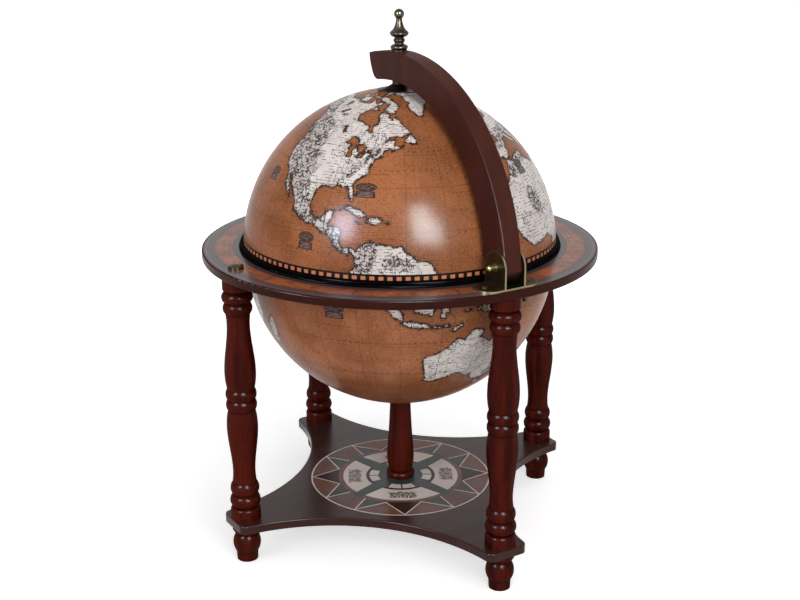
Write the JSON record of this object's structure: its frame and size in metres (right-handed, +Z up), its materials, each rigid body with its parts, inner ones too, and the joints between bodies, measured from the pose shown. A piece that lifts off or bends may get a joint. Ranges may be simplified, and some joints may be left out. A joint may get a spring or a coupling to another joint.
{
  "type": "tabletop globe bar",
  "caption": "Tabletop globe bar: printed globe in a wooden ring on four turned legs; upper half hinges open on a side arm over a bottle and glass rack.",
  "frame": {"origin": "on the floor, under the middle of the globe and of the four feet", "axes": "+Z up through the globe's poles, +Y towards the lid's hinge, so the bar is used from the -Y side"},
  "size_m": [0.4169, 0.417, 0.5625],
  "materials": {
    "turned_wood": "dark red mahogany stain under gloss lacquer",
    "board_wood": "dark brown-red stain under satin lacquer",
    "rack_wood": "mid brown stain, satin",
    "lid_map": "printed antique-style map under gloss varnish",
    "bowl_map": "printed antique-style map under gloss varnish",
    "horizon_print": "printed horizon circle under varnish",
    "compass_print": "printed compass star under varnish",
    "black_rim": "gloss black",
    "antique_brass": "antique, rubbed",
    "dark_bronze": "dark bronze",
    "bush_brass": "bright, machined",
    "steel": "zinc plated"
  },
  "bodies": {
    "stand": {"horizon_ring": "board_wood", "horizon_print": "horizon_print", "shelf": "board_wood", "compass_inlay": "compass_print", "leg_front": "turned_wood", "leg_back": "turned_wood", "leg_left": "turned_wood", "leg_right": "turned_wood", "foot_front": "turned_wood", "foot_back": "turned_wood", "foot_left": "turned_wood", "foot_right": "turned_wood", "foot_studs": "steel", "leg_screws": "steel", "screw_caps": "antique_brass", "centre_column": "turned_wood", "column_screws": "steel", "bowl": "bowl_map", "bowl_rim": "black_rim", "bottle_seat": "rack_wood", "rack_floor": "rack_wood", "rack_top": "rack_wood", "rack_posts": "rack_wood", "rack_screws": "antique_brass", "hinge_bracket": "antique_brass", "bracket_bolts": "antique_brass", "bracket_washers": "steel", "bracket_nuts": "steel", "hinge_pin": "antique_brass", "hinge_cap_nut": "antique_brass"},
    "arm": {"meridian_arm": "board_wood", "arm_bush": "bush_brass", "finial": "antique_brass", "pivot_bolt": "dark_bronze", "pivot_collar": "dark_bronze"},
    "dome": {"dome": "lid_map", "dome_rim": "black_rim", "pole_dish": "dark_bronze", "pole_plate": "dark_bronze", "pole_bush": "bush_brass"}
  },
  "joints": [
    {"name": "lid_hinge", "type": "hinge", "parent": "stand", "child": "arm", "pos_m": [0, 0.19, 0.34], "axis": [-1, 0, 0], "range_deg": [0, 95]},
    {"name": "lid_spin", "type": "hinge", "parent": "arm", "child": "dome", "pos_m": [0, 0, 0.4], "axis": [0, 0, 1], "continuous": true}
  ]
}
